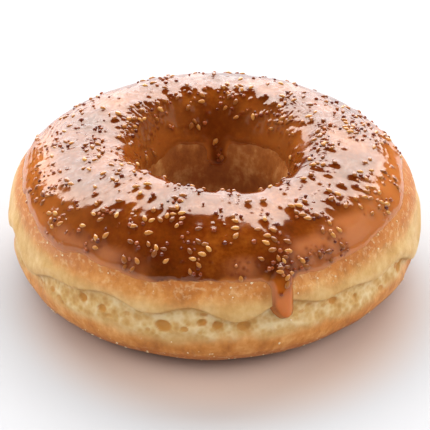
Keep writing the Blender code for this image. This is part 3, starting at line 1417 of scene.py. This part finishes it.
@dataclass
class DoughRing:
    """The fried dough, from its flat foot to the crust that the glaze hides."""

    shape: RingShape
    line: ProofLine
    glaze: GlazeShape
    pores: PoreRule
    finish: CrustFinish
    columns: int = 900
    shaded_pore: float = 1.6 * MM
    rows: int = 110
    crowding: tuple = (
        (-30, 0.5), (-20, 0.55), (-18, 1.15), (24, 1.2), (30, 0.8), (44, 0.7), (52, 0.07),
        (142, 0.07), (150, 0.22), (215, 0.2), (260, 0.16), (300, 0.16), (330, 0.5),
    )

    def make(self) -> bpy.types.Object:
        """Builds the piece.

        Returns:
            The object.
        """
        rings = np.arange(self.columns) / self.columns * math.tau
        grid = RingGrid(self.shape, rings, crowded(self.crowding, self.rows))
        height = grid.base[..., 2]
        drop = self.line.drop(grid.ring, height)
        relief = self.shape.lumps(grid.base) + self.line.relief(grid.ring, grid.section, height)
        relief += self.glaze.swell(grid.section)
        relief += self._skin(grid, drop)
        cavity = np.zeros_like(relief)
        for pore in self.pores.pores(self.line):
            self._open(grid, pore, relief, cavity)
        points = grid.base + grid.normal * relief[..., None]
        points[..., 2] = np.maximum(points[..., 2], 0.0)
        grid.points = held_inside(points, CAD_BOX)
        self._record(grid, drop, cavity)
        made = grid.to_object("fried_dough_ring")
        made.data.materials.append(self.finish.make())
        LOG.info("%s: %d faces", made.name, len(made.data.polygons))
        return made

    def _skin(self, grid: RingGrid, drop: Array) -> Array:
        """The fine unevenness of the skin and the torn crumb.

        Args:
            grid: the grid.
            drop: distances below the crease.

        Returns:
            The relief in metres, mostly inwards.
        """
        coarse = noise_at(grid.base, 3.2 * MM, 5.0)
        fine = noise_at(grid.base, 1.3 * MM, 9.0)
        open_crumb = self._crumb(drop)
        skin = 0.07 * MM * (coarse - 0.6) + 0.03 * MM * (fine - 0.5)
        torn = 0.16 * MM * (coarse - 0.6) + 0.07 * MM * (fine - 0.6)
        facing = np.clip(np.cos(grid.section), 0, 1)
        return skin + (torn - skin) * open_crumb * facing

    def _crumb(self, drop: Array) -> Array:
        """How open the crumb is.

        Args:
            drop: distances below the crease.

        Returns:
            0 on skin and 1 in open crumb.
        """
        return ease(0.0, 0.5 * MM, drop) * ease(7.6 * MM, 5.6 * MM, drop)

    def _open(self, grid: RingGrid, pore: Pore, relief: Array, cavity: Array) -> None:
        """Sinks one pore into the relief, and paints shade into its bowl.

        Args:
            grid: the grid.
            pore: the pore.
            relief: the relief, changed in place.
            cavity: how much painted shade each vertex gets in a pore, changed in place.
        """
        outer_rows = np.cos(grid.sections) > 0.5
        column = grid.column_at(pore.ring)
        heights = np.where(outer_rows, grid.base[column, :, 2], 1.0)
        row = int(np.abs(heights - pore.height).argmin())
        where = grid.window(pore.ring, row, pore.width, self.shape.outer_radius)
        away = np.linalg.norm((grid.base[where] - grid.base[column, row]) * (0.85, 0.85, 1.2), axis=-1)
        share = np.clip(away / (pore.width / 2), 0, 1.6)
        bowl = np.clip(1 - share**2.4, 0, 1) ** 0.8
        rim = 0.09 * hill((share - 1.15) / 0.22)
        relief[where] -= pore.depth * (bowl - rim)
        # Painted shade in the pore's bowl, full in pores as wide as shaded_pore
        shade = min(1.0, pore.width / self.shaded_pore) ** 2
        cavity[where] = np.maximum(cavity[where], ease(0.05, 0.5, bowl) * shade)

    def _record(self, grid: RingGrid, drop: Array, cavity: Array) -> None:
        """Stores what the finish reads.

        Args:
            grid: the grid.
            drop: distances below the crease.
            cavity: how much painted shade each vertex gets in a pore.
        """
        height = grid.base[..., 2]
        outer = np.cos(grid.section) > -0.2
        drift = noise_at(grid.base, 4 * MM, 3.0) * 0.9 * MM
        top = self.line.pale_top + wave_sum(grid.ring, self.line.pale_top_waves) + drift
        low = self.line.pale_base + wave_sum(grid.ring, self.line.pale_base_waves) + drift
        above = ease(-3.2 * MM, 2.6 * MM, height - top)
        below = ease(2.4 * MM, -2.4 * MM, height - low)
        bake = np.where(outer, np.maximum(above, below), 1.0)
        grid.values["bake"] = bake
        grid.values["foot"] = np.where(outer, ease(3.4 * MM, 0.4 * MM, height + drift), 0.0)
        near_glaze = ease(15, 24, grid.degrees)
        near_foot = ease(8 * MM, 3 * MM, height + drift)
        grid.values["scabs"] = np.where(outer, np.maximum(near_glaze, near_foot), 0.0)
        reach = ease(17, 24, grid.degrees + 4 * noise_at(grid.base, 6 * MM, 7.0))
        grid.values["film"] = np.where(outer, reach * hill(turned(grid.ring, -50) / 12), 0.0)
        grid.values["deep"] = np.where(outer, ease(21, 33, grid.degrees), 0.0)
        grid.values["crumb"] = np.where(outer, self._crumb(drop) * (1 - below), 0.0)
        # Painted shade: a darker, warm line along the crease under the lip's overhang
        crease_shade = 0.8 * hill((drop - 0.2 * MM) / (0.6 * MM)) * (outer & (height < top))
        grid.values["cavity"] = np.clip(np.maximum(cavity, crease_shade), 0, 1)
        # Partly painted shade: the crust turns darker down the wall of the hole, below its waist
        grid.values["hole"] = ease(0.1, 0.9, -np.cos(grid.section)) * ease(-0.9, -0.3, np.sin(grid.section))


@dataclass
class Glaze:
    """The caramel glaze, its outer and hole drips, and the bumps over what lies in it."""

    shape: RingShape
    line: ProofLine
    outline: GlazeShape
    finish: GlazeFinish
    toppings: list[Topping]
    columns: int = 800
    rows: int = 118
    under_rows: int = 6
    underside: float = 4.2 * MM
    low: float = -3.0
    high: float = 174.0
    crowding: tuple = (
        (-3, 0.75), (22, 0.85), (26, 1.1), (46, 1.0), (60, 0.62), (140, 0.6), (158, 0.5), (174, 0.4),
    )
    grid: RingGrid = field(init=False)

    def make(self) -> bpy.types.Object:
        """Builds the piece.

        Returns:
            The object.
        """
        over = crowded(self.crowding, self.rows)
        under = np.radians(np.linspace(self.high, self.low, self.under_rows))
        spread = np.arange(self.columns) / self.columns * math.tau
        rings = np.sort((spread - 0.22 * np.sin(spread)) % math.tau)
        self.grid = RingGrid(self.shape, rings, np.concatenate([over, under]))
        grid = self.grid
        inside, drip = self._inside()
        lift = self._lift(inside, drip)
        cover = self.shape.lumps(grid.base) + self.outline.swell(grid.section)
        cover += self.line.lip(grid.ring, grid.section, grid.base[..., 2])
        ripple = noise_at(grid.base, 6 * MM, 2.0) * 0.09 * MM
        ripple += noise_at(grid.base, 2.4 * MM, 4.0) * 0.016 * MM
        shown = ease(0.0, 1.5 * MM, inside)
        buried = np.zeros_like(lift)
        pool = np.zeros_like(lift)
        rise = np.zeros_like(lift)
        for topping in self.toppings:
            self._coat(topping, rise, buried, pool)
        relief = cover + lift + (ripple + rise) * shown
        relief[:, self.rows :] = cover[:, self.rows :] - self.underside
        grid.points = held_inside(grid.base + grid.normal * relief[..., None], CAD_BOX)
        self._paint(inside, drip, buried, pool)
        made = grid.to_object("caramel_glaze_skin")
        made.data.materials.append(self.finish.make())
        LOG.info("%s: %d faces, %d toppings coated", made.name, len(made.data.polygons), len(self.toppings))
        return made

    def _paint(self, inside: Array, drip: Array, buried: Array, pool: Array) -> None:
        """Stores what the finish reads.

        Args:
            inside: distances inside the outline.
            drip: share that belongs to a drip.
            buried: colour of what lies under the glaze.
            pool: how much thicker the glaze is over toppings.
        """
        grid = self.grid
        aside = turned(grid.ring, 0)
        width = (0.5 + 1.3 * noise_at(grid.base, 7 * MM, 11.0)) * MM
        edge = hill(np.clip(inside, 0, None) / width) * (1 - 0.35 * drip)
        # Partly thin glaze, partly painted light: the glaze is paler and more orange down both flanks, and
        # on the wall of the hole beside the back
        flank = hill((np.abs(aside) - 82) / 33) * ease(68, 52, grid.degrees)
        wall = 0.6 * hill((np.abs(aside) - 125) / 32) * ease(98, 120, grid.degrees)
        # It runs together over the short drip at the back of the hole
        column = 0.38 * hill(turned(grid.ring, 179) / 15) * ease(92, 122, grid.degrees)
        clouded = grid.degrees + 6 * noise_at(grid.base, 12 * MM, 6.0)
        # A narrow milky tongue, partly painted reflection of the floor, runs down just right of the middle
        sheen_tongue = 0.7 * hill((aside - 8) / 4) * ease(46, 38, clouded)
        grid.values["thin"] = np.maximum.reduce([edge, flank, wall])
        grid.values["haze"] = np.maximum.reduce([sheen_tongue, *(patch.share(aside, clouded) for patch in HAZE)])
        grid.values["across"] = grid.section * SECTION_RADIUS
        grid.values["folds"] = np.maximum.reduce([patch.share(aside, grid.degrees) for patch in FOLDS])
        grid.values["drip"] = drip * ease(38, 25, grid.degrees)
        grid.values["buried"] = np.clip(buried, 0, 1)
        grid.values["pool"] = np.clip(np.maximum(pool, column), 0, 1)

    def _inside(self) -> tuple[Array, Array]:
        """How far inside the outline each vertex is, and how much it belongs to a drip.

        Returns:
            Distances in metres, negative outside, and shares from 0 to 1.
        """
        grid, outline = self.grid, self.outline
        degrees = grid.degrees
        step = 0.01
        ahead = self.shape.base(grid.ring, grid.section + step)
        behind = self.shape.base(grid.ring, grid.section - step)
        arc = np.linalg.norm(ahead - behind, axis=-1) / math.degrees(2 * step)
        radius = np.hypot(grid.base[..., 0], grid.base[..., 1])
        outer, inner = outline.plain_edges(grid.ring)
        lobe = turned(grid.ring, outline.hole_lobe[0]) / outline.hole_lobe[1]
        inner = inner - outline.hole_lobe[2] * hill(lobe)
        wobble = noise_at(grid.base, 5 * MM, 8.0) + 0.4 * noise_at(grid.base, 1.8 * MM, 12.0)
        wobble *= outline.edge_wobble
        from_outer = (degrees - outer) * arc * 0.93 + wobble
        from_inner = (inner - degrees) * arc * 0.93 + wobble
        # The long drip leans right as it runs down, and narrows to its tip
        middle, _, _ = outline.outer_drip
        lean = 0.7 * MM * ease(16, 3, degrees)
        across = np.radians(turned(grid.ring, middle)) * radius - lean
        past = np.clip((outline.drip_tip + 5.0 - degrees) * arc, 0, None)
        neck = 1 - 0.24 * ease(16, 5, degrees) + 0.3 * ease(24, 34, degrees)
        drip = outline.drip_half_width * neck - np.hypot(across, past)
        hole_across = np.radians(turned(grid.ring, outline.hole_tip[0])) * radius
        hole_past = np.clip((degrees - outline.hole_tip[1] + 10.5) * arc, 0, None)
        hole_drip = outline.hole_half_width - np.hypot(hole_across, hole_past)
        hole_drip = np.where(degrees > 120, hole_drip, -1.0)
        drip = np.where(degrees < 60, drip, -1.0)
        joined_outer = soft_max(from_outer, drip, 2.3 * MM)
        joined_inner = soft_max(from_inner, hole_drip, 3.2 * MM)
        belongs = ease(-0.2 * MM, 1.2 * MM, drip - from_outer) * ease(0.0, 0.8 * MM, drip)
        return np.where(degrees < 95, joined_outer, joined_inner), belongs

    def _lift(self, inside: Array, drip: Array) -> Array:
        """How high the glaze stands on what it covers.

        Args:
            inside: distances inside the outline.
            drip: share that belongs to a drip.

        Returns:
            Heights in metres, below the dough outside the outline.
        """
        outline = self.outline
        depth = np.clip(inside, 0, None)
        film = outline.film * (1 - np.exp(-depth / outline.film_reach))
        film += outline.bead * hill((depth - 1.2 * MM) / (0.8 * MM))
        round_share = np.clip(depth / outline.drip_half_width, 0, 1)
        rounded = outline.drip_thickness * np.sqrt(1 - (1 - round_share) ** 2)
        dive = -3.4 * MM * ease(0.0, -1.6 * MM, inside)
        return film + (rounded - film) * drip + dive

    def _coat(self, topping: Topping, rise: Array, buried: Array, pool: Array) -> None:
        """Raises the glaze round one topping.

        Args:
            topping: the topping.
            rise: added height, changed in place.
            buried: colour of what lies under the glaze, changed in place.
            pool: how much thicker the glaze is, changed in place.
        """
        grid = self.grid
        row = int(np.abs(grid.sections[: self.rows] - topping.section).argmin())
        column = grid.column_at(topping.ring)
        place = grid.base[column, row]
        length = topping.size[0]
        radius = math.hypot(place[0], place[1])
        where = grid.window(topping.ring, row, length * 1.8, radius)
        away = np.linalg.norm(grid.base[where] - place, axis=-1) / length
        hump = BURIED_HUMP if topping.kind is Kind.BURIED else OPEN_HUMP
        crown = ease(CROWN_FROM, CROWN_FULL, np.degrees(topping.section))
        height = (hump.on_flank + (hump.on_crown - hump.on_flank) * crown) * topping.size[2]
        if topping.kind is Kind.BURIED:
            buried[where] = np.maximum(buried[where], 0.7 * hill(away / 0.42))
        else:
            pool[where] = np.maximum(pool[where], 0.9 * hill(away / 0.9))
        rise[where] = np.maximum(rise[where], height * hill(away / hump.width))

    def seat(self, topping: Topping, sunk: float) -> tuple[Vector, Matrix]:
        """Where a topping sits on the finished glaze.

        Args:
            topping: the topping.
            sunk: share of its height that is under the surface.

        Returns:
            Its middle and its axes.
        """
        return seat_on(self.grid, self.rows, topping, sunk)


def seat_on(grid: RingGrid, rows: int, topping: Topping, sunk: float) -> tuple[Vector, Matrix]:
    """Where a topping sits on a finished grid.

    Args:
        grid: the grid.
        rows: how many of its rows count.
        topping: the topping.
        sunk: share of its height that is under the surface.

    Returns:
        Its middle and its axes.
    """
    turn = (grid.sections[:rows] - topping.section + math.pi) % math.tau - math.pi
    row = int(np.abs(turn).argmin())
    column = grid.column_at(topping.ring)
    up = Vector(grid.normal[column, row])
    sideways = Vector((math.cos(topping.ring), math.sin(topping.ring), 0.0))
    other = up.cross(sideways)
    along = sideways * math.cos(topping.turn) + other * math.sin(topping.turn)
    along.normalize()
    across = up.cross(along).normalized()
    height = along.cross(across)
    middle = Vector(grid.points[column, row]) + up * topping.size[2] * (0.5 - sunk)
    return middle, Matrix((along, across, height)).transposed()


# Small shapes, and the tree that scatters them


class SmallShape(Enum):
    """The small shapes that are scattered."""

    TEARDROP = "teardrop"
    LUMP = "lump"
    CRUMB = "crumb"

    def mesh(self) -> bpy.types.Mesh:
        """Builds the shape, one unit long.

        Returns:
            The mesh.
        """
        shaper = bmesh.new()
        if self is SmallShape.TEARDROP:
            bmesh.ops.create_uvsphere(shaper, u_segments=10, v_segments=7, radius=0.5)
            for vertex in shaper.verts:
                x, y, z = vertex.co
                narrow = 1 - 0.42 * max(0.0, z + 0.1) ** 1.2 / 0.55
                vertex.co = (z, y * narrow, x * narrow)
        else:
            bmesh.ops.create_icosphere(shaper, subdivisions=2 if self is SmallShape.LUMP else 1, radius=0.5)
            for vertex in shaper.verts:
                vertex.co *= 1 + 0.35 * noise.noise(vertex.co * 2.9)
        bmesh.ops.recalc_face_normals(shaper, faces=shaper.faces)
        shaper.verts.index_update()
        points = [vertex.co[:] for vertex in shaper.verts]
        # A sphere's faces come in another order each run, so they are sorted
        faces = sorted([vertex.index for vertex in face.verts] for face in shaper.faces)
        shaper.free()
        mesh = bpy.data.meshes.new(self.value)
        mesh.from_pydata(points, [], faces)
        return mesh


class ScatterTree:
    """A Geometry Nodes tree that sets one shape on each point and gives it the points' turn and size."""

    def __init__(self, seed: int) -> None:
        """Builds the tree.

        Args:
            seed: seed of the tints.
        """
        self.tree = bpy.data.node_groups.new("scatter", "GeometryNodeTree")
        face = self.tree.interface
        face.new_socket("Geometry", in_out="INPUT", socket_type="NodeSocketGeometry")
        self.shape = face.new_socket("Shape", in_out="INPUT", socket_type="NodeSocketObject").identifier
        self.finish = face.new_socket("Finish", in_out="INPUT", socket_type="NodeSocketMaterial").identifier
        face.new_socket("Geometry", in_out="OUTPUT", socket_type="NodeSocketGeometry")
        add = partial(add_node, self.tree)
        given = add("NodeGroupInput")
        source = add("GeometryNodeObjectInfo", {"Object": given.outputs["Shape"]})
        turn = add("GeometryNodeInputNamedAttribute", {"Name": "turn"}, data_type="FLOAT_VECTOR")
        extent = add("GeometryNodeInputNamedAttribute", {"Name": "extent"}, data_type="FLOAT_VECTOR")
        euler = add("FunctionNodeEulerToRotation", {0: turn.outputs[0]})
        placed = add(
            "GeometryNodeInstanceOnPoints",
            {
                "Points": given.outputs["Geometry"],
                "Instance": source.outputs["Geometry"],
                "Rotation": euler.outputs[0],
                "Scale": extent.outputs[0],
            },
        )
        tint = add("FunctionNodeRandomValue", {"Seed": seed}, data_type="FLOAT")
        stored = add(
            "GeometryNodeStoreNamedAttribute",
            {"Geometry": placed.outputs[0], "Name": "tint", "Value": tint.outputs[1]},
            data_type="FLOAT",
            domain="INSTANCE",
        )
        real = add("GeometryNodeRealizeInstances", {"Geometry": stored.outputs[0]})
        smooth = add("GeometryNodeSetShadeSmooth", {"Geometry": real.outputs[0]})
        coloured = add(
            "GeometryNodeSetMaterial", {"Geometry": smooth.outputs[0], "Material": given.outputs["Finish"]}
        )
        add("NodeGroupOutput", {0: coloured.outputs[0]})

    def scatter(
        self, name: str, seats: Sequence[Seat], shape: SmallShape, finish: bpy.types.Material
    ) -> bpy.types.Object:
        """Makes one piece of many small shapes.

        Args:
            name: the piece's name.
            seats: middle, axes and size of each.
            shape: the small shape.
            finish: its material.

        Returns:
            The object, a plain mesh.
        """
        points = bpy.data.meshes.new(name + "_points")
        points.from_pydata([middle for middle, _, _ in seats], [], [])
        turns = points.attributes.new("turn", "FLOAT_VECTOR", "POINT")
        extents = points.attributes.new("extent", "FLOAT_VECTOR", "POINT")
        for number, (_, axes, size) in enumerate(seats):
            turns.data[number].vector = axes.to_euler()
            extents.data[number].vector = size
        made = linked(name, points)
        source = linked(name + "_shape", shape.mesh())
        modifier = made.modifiers.new("scatter", "NODES")
        modifier.node_group = self.tree
        modifier[self.shape] = source
        modifier[self.finish] = finish
        graph = bpy.context.evaluated_depsgraph_get()
        graph.update()
        mesh = bpy.data.meshes.new_from_object(made.evaluated_get(graph))
        made.modifiers.clear()
        made.data = mesh
        mesh.name = name
        bpy.data.objects.remove(source, do_unlink=True)
        LOG.info("%s: %d pieces, %d faces", name, len(seats), len(mesh.polygons))
        return made


@dataclass(frozen=True)
class SugarRule:
    """Where crumbs of dried sugar lie on the crust."""

    near_glaze: int = 110
    near_base: int = 150
    seed: int = 31

    def crumbs(self, glaze: GlazeShape) -> list[Topping]:
        """Lists the crumbs.

        Args:
            glaze: the glaze's outline.

        Returns:
            The crumbs.
        """
        chance = random.Random(self.seed)
        made = []
        for number in range(self.near_glaze + self.near_base):
            ring = chance.uniform(0, math.tau)
            if number < self.near_glaze:
                outer, _ = glaze.edges(ring)
                section = math.radians(outer - abs(chance.gauss(0, 4.5)) - 0.6)
            else:
                section = math.radians(-40 + abs(chance.gauss(0, 8)))
            scale = chance.uniform(0.45, 0.95) ** 1.8
            size = (0.75 * MM * scale, 0.6 * MM * scale, 0.45 * MM * scale)
            made.append(Topping(Kind.SUGAR, ring, section, size, chance.uniform(0, math.pi)))
        return made


class Doughnut:
    """The whole doughnut, as the pieces that stand for the frame's nodes."""

    def __init__(self) -> None:
        """Takes the measures, all at their defaults."""
        self.shape = RingShape()
        self.line = ProofLine()
        self.outline = GlazeShape()
        self.rule = ToppingRule()

    def make(self) -> None:
        """Builds every piece, hangs each under the root body, and hides the solids that they replace."""
        solid = self.rule.solid_seeds(self.shape, self.outline, self.line)
        toppings = solid + self.rule.extra(solid, self.shape, self.outline, self.line)
        dough = DoughRing(self.shape, self.line, self.outline, PoreRule(), CrustFinish())
        ring = dough.make()
        glaze = Glaze(self.shape, self.line, self.outline, GlazeFinish(), toppings)
        skin = glaze.make()
        tree = ScatterTree(self.rule.seed)
        seats = {kind: [] for kind in Kind}
        for topping in toppings:
            sunk = SEED_SUNK if topping.kind is Kind.SEED else BIT_SUNK
            seats[topping.kind].append((*glaze.seat(topping, sunk), topping.size))
        seeds = tree.scatter("golden_seeds", seats[Kind.SEED], SmallShape.TEARDROP, SeedFinish().make())
        grains = tree.scatter("dark_grains", seats[Kind.GRAIN], SmallShape.LUMP, GrainFinish().make())
        crumbs = [(*self._on_crust(crumb), crumb.size) for crumb in SugarRule().crumbs(self.outline)]
        sugar = tree.scatter("sugar_crumbs", crumbs, SmallShape.CRUMB, SugarFinish().make())
        slots = {"dough_ring": (ring, sugar), "glaze": (skin, seeds, grains)}
        for piece, slot in ((piece, slot) for slot, pieces in slots.items() for piece in pieces):
            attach(piece, "root")
        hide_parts("dough_ring")
        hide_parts("glaze")

    def _on_crust(self, crumb: Topping) -> tuple[Vector, Matrix]:
        """Seats a crumb on the crust.

        Args:
            crumb: the crumb.

        Returns:
            Its middle and its axes.
        """
        ring, section = np.array([[crumb.ring]]), np.array([[crumb.section]])
        base = self.shape.base(ring, section)
        relief = self.shape.lumps(base) + self.line.relief(ring, section, base[..., 2])
        relief += self.outline.swell(section)
        grid = RingGrid(self.shape, np.array([crumb.ring % math.tau]), np.array([crumb.section]))
        grid.points = base + grid.normal * relief[..., None]
        return seat_on(grid, 1, crumb, BIT_SUNK)


# Studio


@dataclass(frozen=True)
class SoftCard:
    """A soft light card that faces the doughnut."""

    name: str
    azimuth: float
    elevation: float
    distance: float
    width: float
    height: float
    radiance: float
    glossy: bool = True

    def make(self) -> None:
        """Adds the card. Its azimuth is counted from the front (-Y) towards +X."""
        light = bpy.data.lights.new(self.name, "AREA")
        light.shape = "RECTANGLE"
        light.size, light.size_y = self.width, self.height
        light.energy = self.radiance * math.pi * self.width * self.height
        card = linked(self.name, light)
        around, up = math.radians(self.azimuth), math.radians(self.elevation)
        away = Vector((math.sin(around) * math.cos(up), -math.cos(around) * math.cos(up), math.sin(up)))
        card.location = away * self.distance + Vector((0, 0, 15 * MM))
        card.rotation_euler = away.to_track_quat("Z", "Y").to_euler()
        card.visible_glossy = self.glossy
        LOG.info("light %s", self.name)


@dataclass(frozen=True)
class Studio:
    """The floor, the lights and the camera."""

    elevation: float = 31.1
    distance: float = 332.5 * MM
    half_view: float = 0.15228
    roll: float = 0.67
    shift: tuple[float, float] = (0.00116, -0.01047)
    ambient: float = 0.42
    cards: tuple = (
        SoftCard("back_softbox_low", 182, 8, 1.3, 1.35, 0.36, 3.2),
        SoftCard("back_softbox_mid", 182, 23, 1.3, 1.9, 0.36, 4.2),
        SoftCard("back_softbox_high", 182, 38, 1.3, 2.2, 0.36, 5.8),
        SoftCard("back_softbox_top", 182, 53, 1.3, 1.9, 0.36, 6.9),
        SoftCard("left_fill", -84, 36, 1.3, 1.3, 1.0, 2.5, glossy=False),
        SoftCard("right_fill", 78, 36, 1.3, 1.3, 1.0, 2.6, glossy=False),
        SoftCard("front_fill", 0, 48, 1.3, 1.4, 0.8, 0.7, glossy=False),
        SoftCard("left_sheen", -72, 26, 1.2, 1.0, 0.6, 0.35),
        SoftCard("right_sheen", 76, 30, 1.2, 0.8, 0.6, 0.5),
    )

    def make(self) -> None:
        """Builds the studio."""
        self._floor()
        for card in self.cards:
            card.make()
        world = bpy.data.worlds.new("studio_air")
        world.use_nodes = True
        world.node_tree.nodes["Background"].inputs[0].default_value = (1, 1, 1, 1)
        world.node_tree.nodes["Background"].inputs[1].default_value = self.ambient
        bpy.context.scene.world = world
        world.cycles_visibility.glossy = False
        bpy.context.scene.view_settings.view_transform = "Standard"
        bpy.context.scene.view_settings.look = "None"
        self._camera()

    def _floor(self) -> None:
        """Lays the floor."""
        shaper = bmesh.new()
        bmesh.ops.create_grid(shaper, x_segments=4, y_segments=4, size=6.0)
        mesh = bpy.data.meshes.new("studio_floor")
        shaper.to_mesh(mesh)
        shaper.free()
        mesh.materials.append(FloorFinish().make())
        floor = linked("studio_floor", mesh)

    def _camera(self) -> None:
        """Sets the camera at the photograph's angle."""
        data = bpy.data.cameras.new("camera")
        data.sensor_fit = "HORIZONTAL"
        data.angle = 2 * math.atan(self.half_view)
        data.shift_x, data.shift_y = self.shift
        data.clip_start = 0.01
        camera = linked("camera", data)
        up = math.radians(self.elevation)
        away = Vector((0.0, -math.cos(up), math.sin(up)))
        camera.location = Vector((0, 0, RingShape().waist_height)) + away * self.distance
        level = Matrix.Rotation(math.pi / 2 - up, 3, "X")
        camera.rotation_euler = (level @ Matrix.Rotation(math.radians(self.roll), 3, "Z")).to_euler()
        bpy.context.scene.camera = camera


def main() -> None:
    """Builds the doughnut and its studio."""
    logging.basicConfig(level=logging.INFO, format="%(name)s: %(message)s")
    Doughnut().make()
    Studio().make()


if __name__ == "__main__":
    main()
